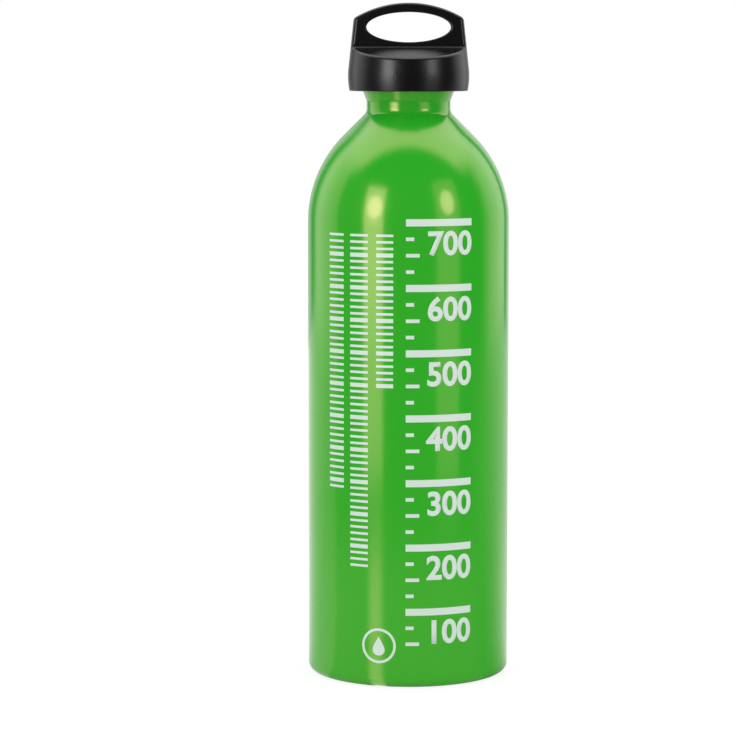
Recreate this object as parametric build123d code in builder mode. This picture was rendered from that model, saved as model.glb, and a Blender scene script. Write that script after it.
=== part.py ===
from build123d import *

import os
from math import cos, pi, radians, sin, sqrt, tan

# A camping fuel bottle: a drawn aluminium bottle with a crimped-in thread ring, and a
# push-and-turn closure whose outer cap carries a flat carrying loop. Millimetres.
# The origin is the centre of the base on the floor and +Z runs up the bottle. The
# plate of the carrying loop lies in the XZ plane, and the photographed side faces -Y.
# The closure is shown screwed home, with its spring holding the cap up off the plug.

os.makedirs("parts", exist_ok=True)

overrun = 5.0

# Bottle body, whose height is that of its mouth
mouth = 222.0
body_radius = 37.5
wall = 0.9
base_wall = 1.5
base_corner = 3.0
rest_width = 3.2
rest_edge_round = 2.0
base_rise = 8.0
shoulder_radius = 45.0
shoulder_angle = radians(45)

# Neck of the bottle, from the lip down to where the cone of the shoulder meets it
neck_radius = 15.55
neck_wall = 1.15
neck_fillet = 3.5
waist_height = 4.1
waist_fillet = 3.0
flare_height = 4.4
collar_height = 3.4
collar_step = 1.75
collar_wall = 1.0
collar_round = 1.5
lip_thickness = 1.1
lip_round = 0.8

# Thread ring, crimped into the neck
crimp_clearance = 0.02
ring_height = 13.5
ring_wall = 0.93
ring_lead = 0.4
ring_recess_depth = 2.4
ring_recess_step = 0.15
lip_step = 0.6

# Screw thread between the ring and the plug
pitch = 3.0
thread_depth = 1.15
thread_crest_clearance = 0.3
thread_root_clearance = 0.25
flank_clearance = 0.2
flank_angle = radians(30)
thread_sink = 0.2
thread_inset = 1.4
thread_end_gap = 0.2

# Gasket
gasket_thickness = 1.2
gasket_inset = 0.3
gasket_fit = 0.2

# Plug
plug_reach = 12.5
plug_bottom_chamfer = 0.6
shank_step = 0.25
flange_thickness = 1.8
flange_edge = 0.4
cup_floor_thickness = 3.0
cup_clearance = 0.3
vent_width = 3.2
vent_depth = 0.5

# Snap ring that holds the cap on the plug
snap_ring_thickness = 1.1
snap_ring_clearance = 0.6
snap_ring_hold = 0.7
snap_ring_depth = 0.4
snap_ring_slit = 7.0
snap_groove_fit = 0.05
snap_gap = 0.1

# Dogs of the push-and-turn drive, the same number on the plug and in the cap
dog_count = 12
dog_height = 1.5
dog_gap = 0.4
dog_length = 6.5
dog_edge = 1.35
dog_side_clearance = 0.21

# Return spring, thrust washer and the post that guides them
running_gap = 0.05
post_radius = 4.2
post_reach = 11.5
spring_wire_radius = 0.45
spring_post_gap = 0.95
spring_turns = 8
washer_thickness = 0.8
washer_post_clearance = 0.4
washer_seat_width = 1.6
washer_pocket_clearance = 0.4
pocket_depth = 3.05

# Outer cap, from its skirt up to the bar over the carrying loop
skirt_overlap = 4.1
skirt_clearance = 1.6
skirt_low_wall = 1.8
skirt_wall = 2.16
skirt_barrel = 8.6
skirt_height = 15.9
skirt_edge_round = 0.4
draft_angle = radians(6.07)
plate_thickness = 9.0
loop_sill = 2.1
loop_half_height = 5.55
loop_bar = 3.4
loop_post = 5.1
arch_radius = 39.5
arch_corner = 2.0
loop_and_rim_round = 1.4
loop_edge_round = 0.7
scoop_angle = radians(12.2)
scoop_fillet = 2.0

# Moulded push and turn marks on the skirt
mark_relief = 0.3
mark_root = 0.8
mark_height = 5.7
mark_stroke = 1.1
mark_head_width = 3.6
mark_head_length = 2.6
push_stem = 2.6
push_mark_x = -5.4
turn_stem = 6.6
turn_mark_x = 2.6

# Outline of the bottle's outer skin, from the lip down
collar_start = mouth - collar_height
waist_top = collar_start - flare_height
neck_corner = waist_top - waist_height
shoulder_corner = neck_corner - (body_radius - neck_radius) / tan(shoulder_angle)
collar_radius = neck_radius + collar_step
rest_inner_radius = body_radius - base_corner - rest_width
dome_radius = (rest_inner_radius**2 + base_rise**2) / (2 * base_rise)

# Outline of its inner skin
inner_radius = body_radius - wall
bore_radius = neck_radius - neck_wall
collar_bore = collar_radius - collar_wall
inner_shoulder_corner = shoulder_corner - wall * tan(shoulder_angle / 2)
inner_neck_corner = inner_shoulder_corner + (inner_radius - bore_radius) / tan(shoulder_angle)
flare_slope = collar_step / flare_height
inner_waist_top = waist_top + collar_wall * flare_slope
inner_collar_start = inner_waist_top + (collar_bore - bore_radius) / flare_slope
lip_bottom = mouth - lip_thickness
inner_dome_radius = dome_radius + base_wall
inner_rest_radius = sqrt(inner_dome_radius**2 - (inner_dome_radius - base_rise) ** 2)

# Radii from the neck inwards, and heights of the thread
ring_body_radius = bore_radius - crimp_clearance
ring_flange_radius = collar_bore - crimp_clearance
ring_root_radius = ring_body_radius - ring_wall
ring_crest_radius = ring_root_radius - thread_depth
ring_recess_radius = ring_root_radius + ring_recess_step
lip_radius = ring_recess_radius + lip_step
plug_crest_radius = ring_root_radius - thread_crest_clearance
plug_root_radius = ring_crest_radius - thread_root_clearance
shank_radius = plug_crest_radius - shank_step
ring_top = lip_bottom - crimp_clearance
ring_bottom = mouth - ring_height
ring_recess_floor = ring_top - ring_recess_depth
thread_start = ring_bottom + thread_inset

# Radii from the collar outwards
gasket_outer_radius = collar_radius - gasket_inset
snap_ring_inner_radius = collar_radius + snap_ring_clearance
flange_radius = snap_ring_inner_radius + snap_ring_hold
skirt_inner_radius = flange_radius + skirt_clearance
snap_ring_outer_radius = skirt_inner_radius + snap_ring_depth
skirt_low_radius = skirt_inner_radius + skirt_low_wall
skirt_join_radius = skirt_inner_radius + skirt_wall

# Radii from the post outwards
spring_radius = post_radius + spring_post_gap + spring_wire_radius
washer_outer_radius = spring_radius + washer_seat_width
cup_radius = washer_outer_radius + cup_clearance
dog_circle_radius = flange_radius - dog_edge - dog_length / 2
dog_width = pi * (dog_circle_radius - dog_length / 2) / dog_count - dog_side_clearance
dog_turn = 360 / dog_count

# Heights that follow from the stack of pieces on the mouth
plug_bottom = mouth - plug_reach
cup_floor = plug_bottom + cup_floor_thickness
gasket_top = mouth + gasket_thickness
flange_bottom = gasket_top + running_gap
flange_top = flange_bottom + flange_thickness
plug_dog_top = flange_top + dog_height
cap_dog_bottom = plug_dog_top + dog_gap
ceiling = cap_dog_bottom + dog_height
pocket_roof = ceiling + pocket_depth
washer_top = pocket_roof - running_gap
washer_bottom = washer_top - washer_thickness
snap_ring_top = flange_bottom - snap_gap
snap_ring_bottom = snap_ring_top - snap_ring_thickness

# Heights up the outer cap
skirt_bottom = mouth - skirt_overlap
skirt_join = skirt_bottom + skirt_barrel
mark_centre = skirt_bottom + mark_height
scoop_top = skirt_bottom + skirt_height
loop_centre = scoop_top + loop_sill + loop_half_height
cap_top = loop_centre + loop_half_height + loop_bar
loop_half_width = skirt_join_radius - (loop_centre - skirt_join) * tan(draft_angle) - loop_post


def dome_point(radius, crown, share):
    """A point on a domed base, at a share of the way from its crown to its edge."""
    reach = share * inner_rest_radius
    return (reach, crown - radius + sqrt(radius**2 - reach**2))


with BuildPart() as bottle_shell:
    with BuildSketch(Plane.XZ) as bottle_section:
        with BuildLine():
            FilletPolyline(
                (rest_inner_radius, 0),
                (body_radius, 0),
                (body_radius, shoulder_corner),
                (neck_radius, neck_corner),
                (neck_radius, waist_top),
                (collar_radius, collar_start),
                (collar_radius, mouth),
                (lip_radius, mouth),
                radius=[
                    base_corner,
                    shoulder_radius,
                    neck_fillet,
                    waist_fillet,
                    collar_round,
                    lip_round,
                ],
            )
            Line((lip_radius, mouth), (lip_radius, lip_bottom))
            FilletPolyline(
                (lip_radius, lip_bottom),
                (collar_bore, lip_bottom),
                (collar_bore, inner_collar_start),
                (bore_radius, inner_waist_top),
                (bore_radius, inner_neck_corner),
                (inner_radius, inner_shoulder_corner),
                (inner_radius, base_wall),
                (inner_rest_radius, base_wall),
                radius=[
                    0,
                    0,
                    0,
                    neck_fillet,
                    shoulder_radius - wall,
                    base_corner - wall,
                ],
            )
            ThreePointArc(
                (inner_rest_radius, base_wall),
                dome_point(inner_dome_radius, base_rise + base_wall, 1 / 2),
                (0, base_rise + base_wall),
            )
            Line((0, base_rise + base_wall), (0, base_rise))
            ThreePointArc(
                (0, base_rise),
                dome_point(dome_radius, base_rise, 1 / 2),
                (rest_inner_radius, 0),
            )
        make_face()
        fillet(
            bottle_section.vertices().sort_by_distance((rest_inner_radius, 0))[0],
            rest_edge_round,
        )
    revolve(axis=Axis.Z)
bottle_shell.part.label = "bottle_shell"
export_step(bottle_shell.part, "parts/bottle_shell.step")


def thread_ridge(root_radius, crest_radius, start, end):
    """A right-hand thread ridge, sunk a little into the cylinder that carries it.

    Its centre line starts at one height, and its upper flank ends at the other.
    """
    middle_radius = (ring_crest_radius + plug_crest_radius) / 2
    middle_half = (pitch - 2 * flank_clearance) / 4
    outward = 1 if crest_radius > root_radius else -1
    base_radius = root_radius - outward * thread_sink
    base_half = middle_half + abs(base_radius - middle_radius) * tan(flank_angle)
    crest_half = middle_half - abs(crest_radius - middle_radius) * tan(flank_angle)
    with BuildPart() as ridge:
        with BuildLine() as path:
            Helix(pitch, end - base_half - start, base_radius, center=(0, 0, start))
        with BuildSketch(Plane(origin=(0, 0, start), x_dir=(1, 0, 0), z_dir=(0, -1, 0))):
            with BuildLine():
                Polyline(
                    (base_radius, -base_half),
                    (crest_radius, -crest_half),
                    (crest_radius, crest_half),
                    (base_radius, base_half),
                    close=True,
                )
            make_face()
        sweep(path=path.line, is_frenet=True)
    return ridge.part


thread_end = ring_recess_floor - thread_end_gap
ring_ridge = thread_ridge(ring_root_radius, ring_crest_radius, thread_start, thread_end)
plug_ridge = thread_ridge(plug_root_radius, plug_crest_radius, thread_start + pitch / 2, thread_end)

ring_flare_low = inner_waist_top + crimp_clearance
ring_flare_high = inner_collar_start + crimp_clearance

with BuildPart() as neck_thread_ring:
    with BuildSketch(Plane.XZ):
        with BuildLine():
            Polyline(
                (ring_root_radius, ring_bottom + ring_lead),
                (ring_root_radius + ring_lead, ring_bottom),
                (ring_body_radius, ring_bottom),
                (ring_body_radius, ring_flare_low),
                (ring_flange_radius, ring_flare_high),
                (ring_flange_radius, ring_top),
                (ring_recess_radius, ring_top),
                (ring_recess_radius, ring_recess_floor),
                (ring_root_radius, ring_recess_floor),
                close=True,
            )
        make_face()
    revolve(axis=Axis.Z)
    add(ring_ridge)
neck_thread_ring.part.label = "neck_thread_ring"
export_step(neck_thread_ring.part, "parts/neck_thread_ring.step")

with BuildPart() as sealing_gasket:
    with BuildSketch(Plane.XY.offset(mouth)):
        Circle(gasket_outer_radius)
        Circle(shank_radius + gasket_fit, mode=Mode.SUBTRACT)
    extrude(amount=gasket_thickness)
sealing_gasket.part.label = "sealing_gasket"
export_step(sealing_gasket.part, "parts/sealing_gasket.step")

with BuildPart() as plug:
    with BuildSketch(Plane.XZ):
        with BuildLine():
            Polyline(
                (0, plug_bottom),
                (plug_root_radius - plug_bottom_chamfer, plug_bottom),
                (plug_root_radius, plug_bottom + plug_bottom_chamfer),
                (plug_root_radius, ring_recess_floor + running_gap),
                (shank_radius, ring_recess_floor + running_gap),
                (shank_radius, flange_bottom),
                (flange_radius, flange_bottom),
                (flange_radius, flange_top),
                (cup_radius, flange_top),
                (cup_radius, cup_floor),
                (0, cup_floor),
                close=True,
            )
        make_face()
    revolve(axis=Axis.Z)
    chamfer(plug.edges().group_by(Axis.Z)[-1].sort_by(SortBy.RADIUS)[-1], flange_edge)
    add(plug_ridge)
    with BuildSketch(Plane.XY.offset(plug_bottom)):
        with Locations((plug_crest_radius, 0)):
            Rectangle(2 * (plug_crest_radius - plug_root_radius + vent_depth), vent_width)
    extrude(amount=ring_recess_floor - plug_bottom, mode=Mode.SUBTRACT)
    with BuildSketch(Plane.XY.offset(flange_top)):
        with PolarLocations(dog_circle_radius, dog_count):
            Rectangle(dog_length, dog_width)
    extrude(amount=dog_height)
plug.part.label = "plug"
export_step(plug.part, "parts/plug.step")

with BuildPart() as return_spring:
    with BuildLine() as spring_path:
        Helix(
            (washer_bottom - cup_floor - 2 * (spring_wire_radius + running_gap)) / spring_turns,
            washer_bottom - cup_floor - 2 * (spring_wire_radius + running_gap),
            spring_radius,
            center=(0, 0, cup_floor + spring_wire_radius + running_gap),
        )
    with BuildSketch(Plane(origin=spring_path.line @ 0, z_dir=spring_path.line % 0)):
        Circle(spring_wire_radius)
    sweep(path=spring_path.line, is_frenet=True)
return_spring.part.label = "return_spring"
export_step(return_spring.part, "parts/return_spring.step")

with BuildPart() as thrust_washer:
    with BuildSketch(Plane.XY.offset(washer_bottom)):
        Circle(washer_outer_radius)
        Circle(post_radius + washer_post_clearance, mode=Mode.SUBTRACT)
    extrude(amount=washer_thickness)
thrust_washer.part.label = "thrust_washer"
export_step(thrust_washer.part, "parts/thrust_washer.step")


def cap_envelope(growth):
    """The cap's round outside, before the loop is shaped, grown by a relief height."""
    high = cap_top + overrun
    high_radius = skirt_join_radius - (high - skirt_join) * tan(draft_angle)
    with BuildPart() as envelope:
        with BuildSketch(Plane.YZ):
            with BuildLine():
                Line((0, skirt_bottom), (skirt_low_radius + growth, skirt_bottom))
                TangentArc(
                    (skirt_join_radius + growth, skirt_join),
                    (skirt_low_radius + growth, skirt_bottom),
                    tangent=(sin(draft_angle), -cos(draft_angle)),
                )
                Line((skirt_join_radius + growth, skirt_join), (high_radius + growth, high))
                Line((high_radius + growth, high), (0, high))
                Line((0, high), (0, skirt_bottom))
            make_face()
        revolve(axis=Axis.Z)
    return envelope.part


def arrow_points(stem, along, across):
    """The outline of an arrow centred on its stem, pointing the way that along gives."""
    half_stroke = mark_stroke / 2
    half_head = mark_head_width / 2
    outline = [
        (-stem / 2, -half_stroke),
        (stem / 2, -half_stroke),
        (stem / 2, -half_head),
        (stem / 2 + mark_head_length, 0),
        (stem / 2, half_head),
        (stem / 2, half_stroke),
        (-stem / 2, half_stroke),
    ]
    return [
        (along[0] * u + across[0] * v, along[1] * u + across[1] * v)
        for u, v in outline
    ]


mark_depth = skirt_inner_radius + mark_root
front_marks = Plane(origin=(0, -mark_depth, mark_centre), x_dir=(1, 0, 0), z_dir=(0, -1, 0))
back_marks = Plane(origin=(0, mark_depth, mark_centre), x_dir=(-1, 0, 0), z_dir=(0, 1, 0))

with BuildPart() as turn_marks:
    with BuildSketch(front_marks, back_marks):
        with BuildLine(Location((push_mark_x, mark_head_length / 2))):
            Polyline(*arrow_points(push_stem, (0, -1), (1, 0)), close=True)
        make_face()
        with BuildLine(Location((turn_mark_x, 0))):
            Polyline(*arrow_points(turn_stem, (1, 0), (0, 1)), close=True)
        make_face()
    extrude(amount=overrun)
    add(cap_envelope(mark_relief), mode=Mode.INTERSECT)

scoop_reach = body_radius - plate_thickness / 2
scoop_low = scoop_top - scoop_reach * tan(scoop_angle)
scoop_high = cap_top + overrun

with BuildPart() as cap_shell:
    add(cap_envelope(0))
    with BuildSketch(Plane.XZ):
        with Locations((0, cap_top - arch_radius)):
            Circle(arch_radius)
    extrude(amount=body_radius, both=True, mode=Mode.INTERSECT)
    with BuildSketch(Plane.YZ):
        for side in (-1, 1):
            with BuildLine():
                FilletPolyline(
                    (side * plate_thickness / 2, scoop_high),
                    (side * plate_thickness / 2, scoop_top),
                    (side * body_radius, scoop_low),
                    (side * body_radius, scoop_high),
                    radius=[scoop_fillet, 0],
                )
                Line((side * body_radius, scoop_high), (side * plate_thickness / 2, scoop_high))
            make_face()
    extrude(amount=body_radius, both=True, mode=Mode.SUBTRACT)
    arch_corners = cap_shell.edges().filter_by(
        lambda edge: abs(edge.center().X) > loop_half_width
        and abs(edge.center().Y) < plate_thickness / 4
        and edge.center().Z > loop_centre
    )
    fillet(arch_corners, arch_corner)
    loop_and_rim = cap_shell.edges().filter_by(
        lambda edge: abs(edge.center().Y) > plate_thickness / 4
        and edge.center().Z > scoop_low
        and edge.geom_type != GeomType.LINE
    )
    fillet(loop_and_rim, loop_and_rim_round)
    with BuildSketch(Plane.XZ):
        with Locations((0, loop_centre)):
            Ellipse(loop_half_width, loop_half_height)
    extrude(amount=plate_thickness, both=True, mode=Mode.SUBTRACT)
    for plate_face in cap_shell.faces().filter_by(Axis.Y):
        fillet(plate_face.inner_wires().edges(), loop_edge_round)
    add(turn_marks.part)
    with BuildSketch(Plane.XY.offset(skirt_bottom)):
        Circle(skirt_inner_radius)
    extrude(amount=ceiling - skirt_bottom, mode=Mode.SUBTRACT)
    with BuildSketch(Plane.XY.offset(ceiling)):
        Circle(washer_outer_radius + washer_pocket_clearance)
    extrude(amount=pocket_depth, mode=Mode.SUBTRACT)
    with BuildSketch(Plane.XY.offset(snap_ring_bottom - snap_groove_fit)):
        Circle(snap_ring_outer_radius + snap_groove_fit)
        Circle(skirt_inner_radius - snap_groove_fit, mode=Mode.SUBTRACT)
    extrude(amount=snap_ring_thickness + 2 * snap_groove_fit, mode=Mode.SUBTRACT)
    with BuildSketch(Plane.XY.offset(pocket_roof)):
        Circle(post_radius)
    extrude(amount=-post_reach)
    with BuildSketch(Plane.XY.offset(ceiling)):
        with PolarLocations(dog_circle_radius, dog_count, start_angle=dog_turn / 2):
            Rectangle(dog_length, dog_width)
    extrude(amount=-dog_height)
    fillet(cap_shell.edges().group_by(Axis.Z)[0].sort_by(SortBy.RADIUS)[-1], skirt_edge_round)
cap_shell.part.label = "cap_shell"
export_step(cap_shell.part, "parts/cap_shell.step")

with BuildPart() as snap_ring:
    with BuildSketch(Plane.XY.offset(snap_ring_bottom)):
        Circle(snap_ring_outer_radius)
        Circle(snap_ring_inner_radius, mode=Mode.SUBTRACT)
        with Locations((0, snap_ring_outer_radius)):
            Rectangle(snap_ring_slit, snap_ring_outer_radius, mode=Mode.SUBTRACT)
    extrude(amount=snap_ring_thickness)
snap_ring.part.label = "snap_ring"
export_step(snap_ring.part, "parts/snap_ring.step")
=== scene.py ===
# %% [markdown]
# # A camping fuel bottle
#
# The bottle is an aluminium can, drawn and necked in one piece, lacquered green and
# screen printed in white. Its closure is black moulded plastic: an outer cap with a
# loop to carry it by, and inside it the plug, gasket, spring and rings that make it
# a push-and-turn closure. All of these shapes arrive finished, in metres, and this
# file gives them their surfaces, their printing, a floor, lights and a camera.

# %% Load the pieces
import math

import bmesh
import bpy
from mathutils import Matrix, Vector


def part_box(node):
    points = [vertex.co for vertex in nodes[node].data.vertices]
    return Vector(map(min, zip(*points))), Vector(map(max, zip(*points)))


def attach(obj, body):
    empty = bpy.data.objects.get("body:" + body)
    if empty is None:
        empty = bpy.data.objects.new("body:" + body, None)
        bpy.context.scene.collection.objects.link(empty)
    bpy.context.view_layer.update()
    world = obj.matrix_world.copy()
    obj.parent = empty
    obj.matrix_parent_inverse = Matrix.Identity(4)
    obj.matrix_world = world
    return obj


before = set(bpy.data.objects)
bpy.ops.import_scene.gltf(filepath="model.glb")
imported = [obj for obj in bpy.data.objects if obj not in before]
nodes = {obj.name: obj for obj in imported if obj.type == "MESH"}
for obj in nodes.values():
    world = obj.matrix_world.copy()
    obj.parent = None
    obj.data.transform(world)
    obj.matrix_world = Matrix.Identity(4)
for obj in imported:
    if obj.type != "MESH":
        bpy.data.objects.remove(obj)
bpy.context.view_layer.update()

MM = 0.001
print("pieces:", ", ".join(sorted(nodes)))

# %% [markdown]
# The printing needs to know where the bottle's wall is, and the lacquer where the
# mouth ends. Both sizes are read from the bottle itself, so that every later cell
# stays in step with it: its widest radius is the body's, and its top is the mouth.

# %% Sizes read from the pieces
shell_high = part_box("bottle_shell")[1]
BODY_RADIUS = shell_high.x
MOUTH = shell_high.z
print("body radius, mm:", round(BODY_RADIUS / MM, 2), " mouth, mm:", round(MOUTH / MM, 2))

# %% [markdown]
# The camera stands about a metre in front and looks slightly down, which is why the
# base reads as a curve while the cap is seen edge on. Its place came from fitting the
# bottle's outline in perspective. The bottle stands right of the middle of the frame,
# so the camera is moved sideways rather than turned, and keeps its lens unshifted.

# %% Camera
CAMERA_PLACE = Vector((-15.1, -1100.0, 231.5)) * MM
CAMERA_DOWN = math.radians(6.082)
FOCAL_LENGTH = 144.1
SENSOR_WIDTH = 36.0

camera_data = bpy.data.cameras.new("camera")
camera_data.lens = FOCAL_LENGTH
camera_data.sensor_width = SENSOR_WIDTH
camera = bpy.data.objects.new("camera", camera_data)
bpy.context.scene.collection.objects.link(camera)
camera.location = CAMERA_PLACE
camera.rotation_euler = (math.pi / 2 - CAMERA_DOWN, 0, 0)
bpy.context.scene.camera = camera
bpy.context.scene.view_settings.view_transform = "Standard"
print("field of view, degrees:", round(math.degrees(camera_data.angle), 2))

# %% [markdown]
# Three small helpers serve every material. Colours are easiest to choose as they look
# on a screen, in sRGB hex, while shaders add light up in linear values, so the first
# turns the one into the other. The second adds a node, sets it and links its inputs in
# one call, so that each material below reads as a list of what it does. The third
# starts a material from its colour and the values of Blender's Principled shader.

# %% Helpers for materials


def linear(hex_colour):
    """A screen colour such as 3fae2f as the linear colour that a shader expects."""
    channels = [int(hex_colour[i : i + 2], 16) / 255 for i in (0, 2, 4)]
    return [c / 12.92 if c <= 0.04045 else ((c + 0.055) / 1.055) ** 2.4 for c in channels] + [1.0]


def add_node(tree, kind, inputs=None, **settings):
    """Adds a node, applies its settings, and fills inputs with values or with sockets."""
    node = tree.nodes.new(kind)
    for name, value in settings.items():
        setattr(node, name, value)
    for name, value in (inputs or {}).items():
        if isinstance(value, bpy.types.NodeSocket):
            tree.links.new(value, node.inputs[name])
        else:
            node.inputs[name].default_value = value
    return node


def new_material(name, colour, **values):
    """A material with one colour all over, its node tree and its shader.

    Each value sets a socket of the shader: coat_weight is the one called Coat Weight.
    """
    material = bpy.data.materials.new(name)
    material.use_nodes = True
    tree = material.node_tree
    shader = tree.nodes["Principled BSDF"]
    shader.inputs["Base Color"].default_value = linear(colour)
    for socket, value in values.items():
        socket = socket.replace("_", " ").title().replace("Ior", "IOR")
        shader.inputs[socket].default_value = value
    return material, tree, shader


# %% [markdown]
# The shot is a catalogue picture on pure white, and its reflections show how the
# studio was set. The backdrop behind the bottle is white and the room in front is
# dark. Two tall cards stand behind the bottle on either side, which give it its lime
# edges, and a black flag between each card and the backdrop draws the thin dark line
# round the upper outline. In reflections the floor glows with painted light and shade.
# It is white behind the bottle, with painted shade in front where the dark room would
# fall on it, and close by it has a painted pool of the left soft box's light.
#
# Such a room is a ring of greys, read by bearing: 0 degrees is the camera's side, and
# positive bearings go to the right. One ring is the walls, and two are painted light
# and shade on the floor: one for the floor further off and one for the floor close to
# the bottle. The close one is centred a little in front of the axis, where the front
# wall's reflections seem to come from, so that its painted patch of soft box light runs
# on straight below the soft box. Only reflections see the rings. Behind the bottle the
# camera sees plain white.

# %% Tones round the bottle
WORLD_TONES = [
    (-179, 0.4),
    (-170, 0.55),
    (-164, 0.75),
    (-152, 0.57),
    (-147, 0.14),
    (-140, 0.1),
    (-134, 0.8),
    (-127, 1.38),
    (-110, 1.12),
    (-91, 0.72),
    (-89, 0.14),
    (-64, 0.06),
    (84, 0.0),
    (92, 0.04),
    (108, 1.02),
    (128, 1.4),
    (141, 1.2),
    (144, 0.05),
    (149, 0.05),
    (153, 0.75),
    (165, 0.9),
    (179, 0.72),
]
# Painted light and shade on the floor further off, seen only in reflections: bright behind the
# bottle, dark in front.
FAR_FLOOR_PAINTED_LIGHT_AND_SHADE = [
    (-179, 1.2),
    (-144, 1.0),
    (-126, 0.8),
    (-98, 0.5),
    (-70, 0.12),
    (-20, 0.05),
    (70, 0.05),
    (98, 0.36),
    (125, 0.77),
    (158, 0.9),
    (179, 0.8),
]
# Painted light and shade on the floor close to the bottle, seen only in reflections: the band from
# -43 to -34 degrees is a painted pool of the left soft box's light, and the front is painted shade.
NEAR_FLOOR_PAINTED_LIGHT_AND_SHADE = [
    (-179, 1.0),
    (-164, 1.25),
    (-140, 1.0),
    (-116, 0.75),
    (-76, 0.42),
    (-49, 0.36),
    (-43, 1.95),
    (-34, 1.95),
    (-28, 0.36),
    (80, 0.32),
    (92, 0.2),
    (104, 0.34),
    (116, 0.62),
    (134, 1.0),
    (158, 0.95),
    (179, 0.5),
]
for tones in (WORLD_TONES, FAR_FLOOR_PAINTED_LIGHT_AND_SHADE, NEAR_FLOOR_PAINTED_LIGHT_AND_SHADE):
    print("tones from", min(tone for _, tone in tones), "to", max(tone for _, tone in tones))

# %% [markdown]
# A radial gradient turns a bearing into a number from 0 to 1, and a colour ramp turns
# that number into a tone. The gradient can be centred forward of the axis. The last
# helper tells apart the rays that see these rings from the rays that see plain white.

# %% Rings of tone as nodes
FULL_TURN = 360
CAMERA_SIDE = 0.25


def ramp_place(bearing):
    """Where a bearing falls on a radial gradient, which starts at -X and runs on by -Y."""
    return (bearing / FULL_TURN + CAMERA_SIDE) % 1


def tone_round(tree, coordinates, tones, forward=0.0):
    """The colour and the strength of a ring of tones round the Z axis, or forward of it."""
    brightest = max(tone for bearing, tone in tones)
    place = add_node(tree, "ShaderNodeTexCoord")
    inputs = {0: place.outputs[coordinates], 1: (0, forward, 0)}
    centred = add_node(tree, "ShaderNodeVectorMath", inputs, operation="ADD")
    inputs = {"Vector": centred.outputs[0]}
    turn = add_node(tree, "ShaderNodeTexGradient", inputs, gradient_type="RADIAL")
    ramp = add_node(tree, "ShaderNodeValToRGB", {"Fac": turn.outputs["Fac"]})
    stops = ramp.color_ramp.elements
    while len(stops) < len(tones):
        stops.new(1.0)
    in_order = sorted(tones, key=lambda pair: ramp_place(pair[0]))
    for stop, (bearing, tone) in zip(stops, in_order):
        stop.position = ramp_place(bearing)
        stop.color = [tone / brightest] * 3 + [1.0]
    print("ring of tones:", len(tones), "stops, brightest", brightest)
    return {"Color": ramp.outputs["Color"], "Strength": brightest}


def seen_directly(tree):
    """1 for rays from the camera and through glass, and the flag of glossy rays."""
    path = add_node(tree, "ShaderNodeLightPath")
    inputs = {0: path.outputs["Is Camera Ray"], 1: path.outputs["Is Transmission Ray"]}
    seen = add_node(tree, "ShaderNodeMath", inputs, operation="MAXIMUM")
    return seen.outputs[0], path.outputs["Is Glossy Ray"]


# %% [markdown]
# The world is the walls and a roof. The walls grow a little brighter with height, up to
# where the roof begins to take over.

# %% World: the walls
SOFT_LIGHT = 1.06
CARDS_BRIGHTEN = 1.25
ROOF_BLEND = (0.5, 0.75)

world = bpy.data.worlds.new("studio")
world.use_nodes = True
bpy.context.scene.world = world
tree = world.node_tree
seen, glossy = seen_directly(tree)
soft = tree.nodes["Background"]
soft.inputs["Color"].default_value = linear("ffffff")
soft.inputs["Strength"].default_value = SOFT_LIGHT
ring = tone_round(tree, "Generated", WORLD_TONES)
direction = add_node(tree, "ShaderNodeTexCoord")
climb = add_node(tree, "ShaderNodeSeparateXYZ", {0: direction.outputs["Generated"]})
inputs = {"Value": climb.outputs["Z"], "From Min": 0.0, "From Max": ROOF_BLEND[0]}
inputs.update({"To Min": ring["Strength"], "To Max": ring["Strength"] * CARDS_BRIGHTEN})
gain = add_node(tree, "ShaderNodeMapRange", inputs)
inputs = {"Color": ring["Color"], "Strength": gain.outputs["Result"]}
walls = add_node(tree, "ShaderNodeBackground", inputs)

# %% [markdown]
# The roof is a white sheet behind a plane that leans 15 degrees from upright, so that
# the line square to the plane stands 75 degrees from upright. Its soft edge draws the
# pale arc across the shoulder, and what lies above the edge shows in the cone below the
# neck.

# %% World: the roof
ROOF_TONE = 2.15
ROOF_TILT = math.radians(75)
ROOF_FADE = (-0.09, 0.14)

inputs = {0: direction.outputs["Generated"], 1: (0, math.sin(ROOF_TILT), math.cos(ROOF_TILT))}
behind = add_node(tree, "ShaderNodeVectorMath", inputs, operation="DOT_PRODUCT")
inputs = {"Value": behind.outputs["Value"], "From Min": ROOF_FADE[0], "From Max": ROOF_FADE[1]}
inputs["To Max"] = ROOF_TONE
edge = add_node(tree, "ShaderNodeMapRange", inputs, interpolation_type="SMOOTHSTEP")
inputs = {"Color": linear("ffffff"), "Strength": edge.outputs["Result"]}
roof = add_node(tree, "ShaderNodeBackground", inputs)
inputs = {"Value": climb.outputs["Z"], "From Min": ROOF_BLEND[0], "From Max": ROOF_BLEND[1]}
above = add_node(tree, "ShaderNodeMapRange", inputs, interpolation_type="SMOOTHSTEP")
inputs = {0: above.outputs["Result"], 1: walls.outputs[0], 2: roof.outputs[0]}
room = add_node(tree, "ShaderNodeMixShader", inputs)
print("roof tone:", ROOF_TONE)

# %% [markdown]
# Three kinds of ray see three things: reflections see the room, rays from the camera
# and through glass see plain white, and every other ray, which is what lights the
# bottle, sees an even soft white.

# %% World: what each ray sees
white = add_node(tree, "ShaderNodeBackground", {"Color": linear("ffffff"), "Strength": 1.0})
inputs = {0: glossy, 1: soft.outputs[0], 2: room.outputs[0]}
unseen = add_node(tree, "ShaderNodeMixShader", inputs)
inputs = {0: seen, 1: unseen.outputs[0], 2: white.outputs[0]}
whole = add_node(tree, "ShaderNodeMixShader", inputs)
tree.links.new(whole.outputs[0], tree.nodes["World Output"].inputs["Surface"])
print("soft light:", SOFT_LIGHT)

# %% [markdown]
# The floor is one flat square with the bottle in the middle of it. It is staging, and no
# part of the bottle.

# %% Floor
FLOOR_SIZE = 2.4

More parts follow.
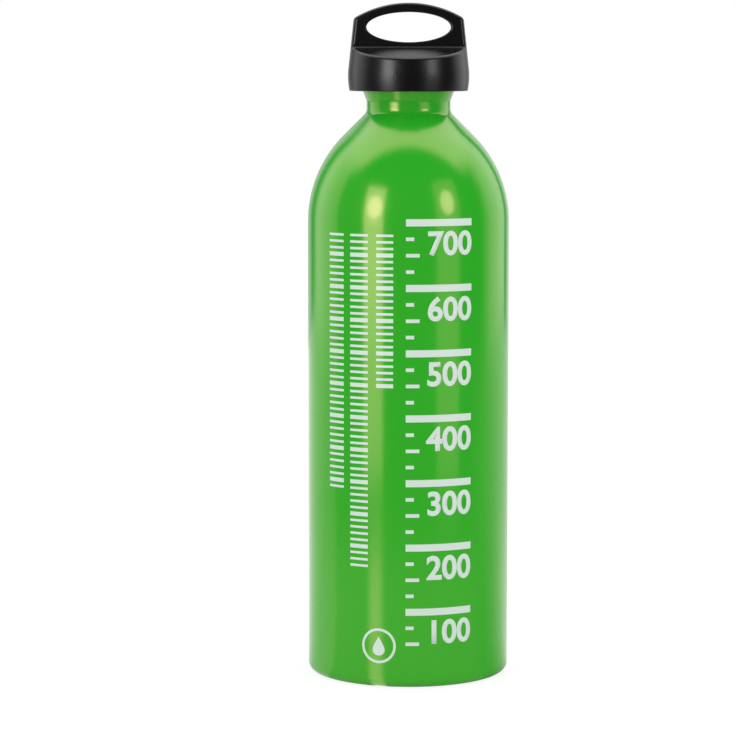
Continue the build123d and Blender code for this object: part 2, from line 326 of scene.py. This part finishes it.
floor_mesh = bmesh.new()
bmesh.ops.create_grid(floor_mesh, x_segments=1, y_segments=1, size=FLOOR_SIZE / 2)
floor_data = bpy.data.meshes.new("floor")
floor_mesh.to_mesh(floor_data)
floor_mesh.free()
floor = bpy.data.objects.new("floor", floor_data)
bpy.context.scene.collection.objects.link(floor)
print("floor, m:", FLOOR_SIZE)

# %% [markdown]
# Three quarters of what the camera sees of the floor is a plain white glow. The rest is
# a pale matt surface, which takes the bottle's soft shadow. Reflections see no lit floor
# but a glow of painted light and shade, whose close ring passes softly into the far one
# between 20 and 50 centimetres out.

# %% Floor surface
FLOOR_GLOW = 1.1
FLOOR_GLOW_SHARE = 0.75
NEAR_REACH = 0.2
FAR_REACH = 0.5
MIRROR_FOCUS_SHARE = 0.55
MIRROR_FOCUS = BODY_RADIUS * MIRROR_FOCUS_SHARE

floor_material, tree, matt = new_material("pale matt studio floor, painted light in reflections", "f2f2f2", roughness=0.9)
seen, glossy = seen_directly(tree)
glow = add_node(tree, "ShaderNodeEmission", {"Color": linear("ffffff"), "Strength": FLOOR_GLOW})
inputs = {0: seen, 1: FLOOR_GLOW_SHARE}
glow_share = add_node(tree, "ShaderNodeMath", inputs, operation="MULTIPLY")
inputs = {0: glow_share.outputs[0], 1: matt.outputs[0], 2: glow.outputs[0]}
lit = add_node(tree, "ShaderNodeMixShader", inputs)
# The floor's painted light and shade, which reflections see in place of the lit floor: a far ring
# and a close ring, mixed by distance.
far = add_node(tree, "ShaderNodeEmission", tone_round(tree, "Object", FAR_FLOOR_PAINTED_LIGHT_AND_SHADE))
ring = tone_round(tree, "Object", NEAR_FLOOR_PAINTED_LIGHT_AND_SHADE, forward=MIRROR_FOCUS)
near = add_node(tree, "ShaderNodeEmission", ring)
place = add_node(tree, "ShaderNodeTexCoord")
inputs = {0: place.outputs["Object"]}
distance = add_node(tree, "ShaderNodeVectorMath", inputs, operation="LENGTH")
inputs = {"Value": distance.outputs["Value"], "From Min": NEAR_REACH, "From Max": FAR_REACH}
fall = add_node(tree, "ShaderNodeMapRange", inputs, interpolation_type="SMOOTHSTEP")
inputs = {0: fall.outputs["Result"], 1: near.outputs[0], 2: far.outputs[0]}
painted_floor_light_and_shade = add_node(tree, "ShaderNodeMixShader", inputs)
inputs = {0: glossy, 1: lit.outputs[0], 2: painted_floor_light_and_shade.outputs[0]}
whole = add_node(tree, "ShaderNodeMixShader", inputs)
tree.links.new(whole.outputs[0], tree.nodes["Material Output"].inputs["Surface"])
floor_data.materials.append(floor_material)

# %% [markdown]
# On a shiny cylinder a lamp shows as a streak, and its place follows the law of
# mirrors: a streak seen where the wall has turned by 18 degrees comes from a lamp 37
# degrees round. Each lamp is named for what it draws and is set by its bearing and
# elevation from the bottle and by the angles that it fills. Its power follows from its
# strength and its size, so that a lamp that is resized stays as bright.
#
# The photograph has two soft boxes in front, each with a hot middle that shows as a
# bright spot on the shoulder. The left one fades towards its foot, so that it is two
# overlapping lamps here. All of them only draw reflections, and the light that falls
# on the bottle is the world's, so that one can be set without the other.

# %% Lamps
LAMP_DISTANCE = 0.5
AIM = Vector((0, 0, 177)) * MM


def filling(angle):
    """The width that fills an angle, seen from the bottle at the lamps' distance."""
    return 2 * LAMP_DISTANCE * math.tan(math.radians(angle / 2))


def soft_box(name, bearing, elevation, wide, tall, strength, shape="RECTANGLE"):
    """A lamp that faces the shoulder, with its size given in degrees as seen from there."""
    width, height = filling(wide), filling(tall)
    data = bpy.data.lights.new(name, "AREA")
    data.shape = shape
    data.size = width
    data.size_y = height
    data.energy = strength * math.pi * width * height
    lamp = bpy.data.objects.new(name, data)
    bpy.context.scene.collection.objects.link(lamp)
    turn, lift = math.radians(bearing), math.radians(elevation)
    flat = LAMP_DISTANCE * math.cos(lift)
    offset = Vector((flat * math.sin(turn), -flat * math.cos(turn), LAMP_DISTANCE * math.sin(lift)))
    lamp.location = AIM + offset
    lamp.rotation_euler = (-offset).to_track_quat("-Z", "Y").to_euler()
    lamp.visible_camera = False
    lamp.visible_diffuse = False
    print(name, "power, W:", round(data.energy, 1))


# Bearing, elevation, width and height are in degrees, and strength follows them. A round
# lamp also names its shape.
LAMPS = {
    "left streak": (-40, 6, 23, 48, 1.9),
    "left streak, upper part": (-40, 11, 23, 42, 1.2),
    "left hot spot": (-39, 12.5, 17, 20, 3.5, "ELLIPSE"),
    "right streak": (44, 8, 28, 56, 0.75),
    "right hot spot": (44, 16.5, 15, 21, 3.2, "ELLIPSE"),
}
for name, setting in LAMPS.items():
    soft_box(name, *setting)

# %% [markdown]
# No finish is perfectly smooth. Orange peel and the grain of mouldings, rubber and ink
# are all cloudy patterns, far too shallow to be worth modelling, so one helper bends
# the shader's normal by a cloudy pattern of a real size and depth. The pattern is fixed
# to the piece and moves with it. The other helper puts a finish on the CAD pieces that
# wear it.

# %% Helpers for finishes


def add_relief(tree, shader, size, depth, strength, detail=1.0, normal="Normal"):
    """Gives a shader's normal a cloudy relief."""
    place = add_node(tree, "ShaderNodeTexCoord")
    inputs = {"Vector": place.outputs["Object"], "Scale": 1 / size, "Detail": detail}
    clouds = add_node(tree, "ShaderNodeTexNoise", inputs)
    inputs = {"Height": clouds.outputs["Fac"], "Distance": depth, "Strength": strength}
    relief = add_node(tree, "ShaderNodeBump", inputs)
    tree.links.new(relief.outputs[0], shader.inputs[normal])


def dress(material, *node_names):
    """Gives CAD pieces their finish."""
    for node_name in node_names:
        slots = nodes[node_name].data.materials
        if not slots:
            slots.append(material)
        for index in range(len(slots)):
            slots[index] = material
    print(material.name, "on", ", ".join(node_names))


# %% [markdown]
# The body's finish is a candy lacquer: clear green lacquer over bright aluminium,
# sprayed and stoved. The metal below adds to the lacquer's own mirror, which is why
# the index of refraction is 1.9 where lacquer alone would have 1.5. It sends the
# light back through the green film, and a warm tint on the reflections turns them lime
# as the photograph's are. A thin sharp coat on top keeps some of them white. A sprayed
# film is never quite flat, so a faint orange peel, about 2 mm across, ripples it. The
# lacquer stops at the mouth, whose rolled lip is left bare so that the gasket seals on
# metal.

# %% Candy lacquer
LACQUER_GREEN = "27b126"
WARM_SHEEN = "ffcca0"
BARE_ALUMINIUM = "c9cbcd"
PEEL_SIZE = 2.0 * MM
BARE_LIP_DEPTH = 0.4 * MM

lacquer, tree, shader = new_material(
    "candy green lacquer on aluminium",
    LACQUER_GREEN,
    roughness=0.16,
    ior=1.9,
    specular_tint=linear(WARM_SHEEN),
    coat_weight=0.1,
    coat_roughness=0.05,
)
add_relief(tree, shader, PEEL_SIZE, depth=0.05 * MM, strength=0.03, normal="Coat Normal")

place = add_node(tree, "ShaderNodeTexCoord")
height = add_node(tree, "ShaderNodeSeparateXYZ", {0: place.outputs["Object"]})
inputs = {0: height.outputs["Z"], 1: MOUTH - BARE_LIP_DEPTH}
bare = add_node(tree, "ShaderNodeMath", inputs, operation="GREATER_THAN")
colours = add_node(tree, "ShaderNodeMix", data_type="RGBA")
tree.links.new(bare.outputs[0], colours.inputs["Factor"])
colours.inputs["A"].default_value = linear(LACQUER_GREEN)
colours.inputs["B"].default_value = linear(BARE_ALUMINIUM)
tree.links.new(colours.outputs["Result"], shader.inputs["Base Color"])

dress(lacquer, "bottle_shell")

# %% [markdown]
# The outer cap is injection moulded in black polypropylene, in a tool whose faces
# were spark eroded. That leaves a fine grain and a satin sheen. The grain has its real
# size, which is finer than a pixel of this picture. The plug is a harder, glass-filled
# nylon, which comes out of its tool duller and slightly mottled.

# %% Moulded plastics
GRAIN_SIZE = 0.25 * MM
MOTTLE_SIZE = 1.2 * MM

cap_plastic, tree, shader = new_material(
    "satin black polypropylene", "080706", roughness=0.3, ior=1.49
)
add_relief(tree, shader, GRAIN_SIZE, depth=0.02 * MM, strength=0.15, detail=2.0)
dress(cap_plastic, "cap_shell")

nylon, tree, shader = new_material("black glass-filled nylon", "1b1b1c", roughness=0.5, ior=1.53)
add_relief(tree, shader, MOTTLE_SIZE, depth=0.03 * MM, strength=0.3, detail=4.0)
dress(nylon, "plug")

# %% [markdown]
# The thrust washer is acetal left in its natural milky white. It is slippery without
# grease, and a little light goes into it, which a short subsurface scale gives.

# %% Acetal
GLOW_DEPTH = 1.0 * MM

acetal = new_material(
    "natural acetal", "e9e7de", roughness=0.4, subsurface_weight=0.2, subsurface_scale=GLOW_DEPTH
)[0]
dress(acetal, "thrust_washer")

# %% [markdown]
# The rest is metal and rubber: a thread ring in the neck, turned from aluminium, with
# the fine rings of the lathe on it, a gasket of black nitrile rubber, and a spring
# and a snap ring of bright drawn steel. Blender's wave texture repeats at every tenth
# of pi of its own units, so its scale is that period over the pitch of the rings.

# %% Metals and rubber
WAVE_PERIOD = math.pi / 10
TURNING_PITCH = 0.0377 * MM
TURNING_DEPTH = 0.005 * MM

turned, tree, shader = new_material(
    "turned aluminium", BARE_ALUMINIUM, metallic=1.0, roughness=0.28
)
place = add_node(tree, "ShaderNodeTexCoord")
scale = WAVE_PERIOD / TURNING_PITCH
inputs = {"Vector": place.outputs["Object"], "Scale": scale, "Distortion": 0.0}
rings = add_node(tree, "ShaderNodeTexWave", inputs, bands_direction="Z")
inputs = {"Height": rings.outputs["Fac"], "Distance": TURNING_DEPTH, "Strength": 0.4}
relief = add_node(tree, "ShaderNodeBump", inputs)
tree.links.new(relief.outputs[0], shader.inputs["Normal"])
dress(turned, "neck_thread_ring")

steel = new_material("bright drawn spring steel", "b8b9bb", metallic=1.0, roughness=0.22)[0]
dress(steel, "return_spring", "snap_ring")

rubber, tree, shader = new_material("black nitrile rubber", "1c1c1c", roughness=0.75)
add_relief(tree, shader, GRAIN_SIZE, depth=0.02 * MM, strength=0.3, detail=3.0)
dress(rubber, "sealing_gasket")

# %% [markdown]
# The printing is one pass of pale screen ink on the lacquer. It is made of plain
# marks: a fill scale with plain numbers, in millilitres, three rows of fine ticks, and
# a ring with a drop.
#
# Screen ink is pressed through a fine mesh and then stoved. That leaves it satin, with a
# faint grain, under a little gloss.

# %% Screen printing ink
ink, tree, shader = new_material(
    "pale screen printing ink", "d4e3d9", roughness=0.42, coat_weight=0.25, coat_roughness=0.2
)
add_relief(tree, shader, GRAIN_SIZE, depth=0.01 * MM, strength=0.2)
print(ink.name, "made")

# %% [markdown]
# The marks are drawn flat, as on the printer's film, where u runs round the body from
# the middle of its front and v is the height above the base. They are then cut into
# narrow upright strips, given the thickness of the ink and wrapped round the body.

# %% Drawing the marks flat
ROUND_STEPS = 72
TURNS = [2 * math.pi * step / ROUND_STEPS for step in range(ROUND_STEPS)]
DROP_FULLNESS = 0.46
DROP_POINT = 1.6


def add_outline(film, points):
    """Adds one flat closed shape."""
    film.faces.new([film.verts.new((u, v, 0)) for u, v in points])


def add_bar(film, u_low, u_high, level, thickness):
    """Adds a plain level bar with its middle at a height."""
    v_low, v_high = level - thickness / 2, level + thickness / 2
    add_outline(film, [(u_low, v_low), (u_high, v_low), (u_high, v_high), (u_low, v_high)])


def add_ring(film, u, v, outer, stroke):
    """Adds a plain ring, as a band of short quads."""
    circles = []
    for radius in (outer, outer - stroke):
        points = [(u + radius * math.cos(t), v + radius * math.sin(t), 0) for t in TURNS]
        circles.append([film.verts.new(point) for point in points])
    for step in range(ROUND_STEPS):
        after = (step + 1) % ROUND_STEPS
        corners = [circles[0][step], circles[0][after], circles[1][after], circles[1][step]]
        film.faces.new(corners)


def add_drop(film, u, v, tall):
    """Adds a drop that hangs from its point, drawn by one formula."""
    points = []
    for t in TURNS:
        side = tall * DROP_FULLNESS * math.sin(t) * math.sin(t / 2) ** DROP_POINT
        points.append((u - side, v + tall / 2 * math.cos(t)))
    add_outline(film, points)


# %% [markdown]
# The numbers are drawn in Blender's own plain typeface, made a little bolder, and then
# scaled to the height that they need.

# %% Drawing the numbers flat
BOLDER = 0.03


def add_number(film, number, u_high, v_low, tall):
    """Adds a plain bold number that ends at u_high and stands on v_low."""
    data = bpy.data.curves.new("number", "FONT")
    data.body = str(number)
    data.offset = BOLDER
    writing = bpy.data.objects.new("number", data)
    bpy.context.scene.collection.objects.link(writing)
    bpy.context.view_layer.update()
    mesh = bpy.data.meshes.new_from_object(writing)
    low = [min(vertex.co[axis] for vertex in mesh.vertices) for axis in (0, 1)]
    high = [max(vertex.co[axis] for vertex in mesh.vertices) for axis in (0, 1)]
    scale = tall / (high[1] - low[1])
    for vertex in mesh.vertices:
        u = u_high + (vertex.co.x - high[0]) * scale
        v = v_low + (vertex.co.y - low[1]) * scale
        vertex.co = (u, v, 0)
    film.from_mesh(mesh)
    bpy.data.objects.remove(writing)
    bpy.data.curves.remove(data)
    bpy.data.meshes.remove(mesh)


# %% [markdown]
# Wrapping is the same for every mark: a point u along the wall has turned by u over
# the radius from the front. The strips are narrow enough that each flat one stays
# within a hundredth of a millimetre of the round wall. The top bar of the scale stands
# just above the start of the shoulder, so there the ink is also cut across, a millimetre
# apart, and leans in along the shoulder's arc. The start and the radius of that arc are
# the solid's own.

# %% Wrapping the marks round the body
INK_OUT = 0.02 * MM
INK_IN = 0.03 * MM
STRIP_WIDTH = 1.2 * MM
SHOULDER_START = 169.51 * MM
SHOULDER_RADIUS = 45.0 * MM
SHOULDER_CUTS = [SHOULDER_START + step * MM for step in range(3)]


def wall_radius(height):
    """The body's outer radius: straight up to the shoulder, then along its arc."""
    rise = max(0.0, height - SHOULDER_START)
    return BODY_RADIUS - SHOULDER_RADIUS + math.sqrt(SHOULDER_RADIUS**2 - rise**2)


def cut_film(film, place, direction):
    """Cuts the whole drawing along a straight line, and keeps both sides."""
    everything = film.verts[:] + film.edges[:] + film.faces[:]
    bmesh.ops.bisect_plane(film, geom=everything, plane_co=place, plane_no=direction)


def print_on_body(name, film):
    """Turns a flat drawing into a film of ink on the body."""
    low = min(vertex.co.x for vertex in film.verts)
    high = max(vertex.co.x for vertex in film.verts)
    for strip in range(1, math.ceil((high - low) / STRIP_WIDTH)):
        cut_film(film, (low + strip * STRIP_WIDTH, 0, 0), (1, 0, 0))
    for height in SHOULDER_CUTS:
        cut_film(film, (0, height, 0), (0, 1, 0))
    bmesh.ops.triangulate(film, faces=film.faces[:])
    grown = bmesh.ops.extrude_face_region(film, geom=film.faces[:])
    for element in grown["geom"]:
        if isinstance(element, bmesh.types.BMVert):
            element.co.z = INK_OUT + INK_IN
    for vertex in film.verts:
        turn = vertex.co.x / BODY_RADIUS
        reach = wall_radius(vertex.co.y) - INK_IN + vertex.co.z
        vertex.co = (reach * math.sin(turn), -reach * math.cos(turn), vertex.co.y)
    bmesh.ops.recalc_face_normals(film, faces=film.faces[:])
    mesh = bpy.data.meshes.new(name)
    film.to_mesh(mesh)
    film.free()
    mesh.materials.append(ink)
    piece = bpy.data.objects.new(name, mesh)
    bpy.context.scene.collection.objects.link(piece)
    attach(piece, "bottle")
    print(name, "faces:", len(mesh.polygons))


# %% [markdown]
# The fill scale is worked out from the bottle. Its straight body holds 4.208
# millilitres for each millimetre of height, and the domed base and rounded corner
# take up 13.1 millilitres, so each mark stands where that much fuel really comes to.

# %% Fill scale
ML_PER_MM = 4.208
DOME_ML = 13.1
FLOOR_OF_FUEL = 1.5 * MM
SCALE_LEFT = -1.4 * MM
SCALE_RIGHT = 24.15 * MM
LONG_BAR = 2.6 * MM
TICK_BAR = 1.3 * MM
NUMBER_HEIGHT = 9.1 * MM
NUMBER_GAP = 1.7 * MM
MIDDLE_TICK = 5.0 * MM
SHORT_TICK = 3.0 * MM
LOWEST_MARK, HIGHEST_MARK = 50, 700
EVERY_NUMBER, EVERY_MIDDLE, EVERY_SHORT = 100, 50, 25


def fuel_level(millilitres):
    """The height of the fuel's surface in the straight body."""
    return FLOOR_OF_FUEL + (millilitres + DOME_ML) / ML_PER_MM * MM


scale_film = bmesh.new()
for millilitres in range(LOWEST_MARK, HIGHEST_MARK + 1, EVERY_SHORT):
    level = fuel_level(millilitres)
    if millilitres % EVERY_NUMBER == 0:
        add_bar(scale_film, SCALE_LEFT, SCALE_RIGHT, level, LONG_BAR)
        foot = level - LONG_BAR / 2 - NUMBER_GAP - NUMBER_HEIGHT
        add_number(scale_film, millilitres, SCALE_RIGHT, foot, NUMBER_HEIGHT)
    else:
        length = MIDDLE_TICK if millilitres % EVERY_MIDDLE == 0 else SHORT_TICK
        add_bar(scale_film, SCALE_LEFT, SCALE_LEFT + length, level, TICK_BAR)
print_on_body("fill_scale", scale_film)

# %% [markdown]
# Three narrow rows stand left of the scale. They start at one height at the top, and
# each has its own length. A fine tick stands at every 10 millilitres, and each fifth tick
# is a heavy one. A row is given by its left and right edges and the height of its foot.

# %% Rows of ticks
EVERY_FINE, EVERY_HEAVY = 10, 50
ROWS = [
    (-12.4 * MM, -6.0 * MM, 109.2 * MM),
    (-23.0 * MM, -15.6 * MM, 43.2 * MM),
    (-33.3 * MM, -26.0 * MM, 72.3 * MM),
]
ROW_TOP = 167.4 * MM
FINE_BAR = 0.9 * MM
HEAVY_BAR = 1.5 * MM

row_film = bmesh.new()
for left, right, foot in ROWS:
    for millilitres in range(LOWEST_MARK, HIGHEST_MARK + 1, EVERY_FINE):
        level = fuel_level(millilitres)
        if foot <= level <= ROW_TOP:
            bar = HEAVY_BAR if millilitres % EVERY_HEAVY == 0 else FINE_BAR
            add_bar(row_film, left, right, level, bar)
print_on_body("tick_rows", row_film)

# %% [markdown]
# Low on the left stands a plain ring with a drop in it.

# %% Ring with a drop
RING_PLACE = (-11.4 * MM, 15.6 * MM)
RING_RADIUS = 6.5 * MM
RING_STROKE = 0.95 * MM
DROP_HEIGHT = 7.2 * MM

drop_film = bmesh.new()
add_ring(drop_film, *RING_PLACE, RING_RADIUS, RING_STROKE)
add_drop(drop_film, *RING_PLACE, DROP_HEIGHT)
print_on_body("drop_mark", drop_film)
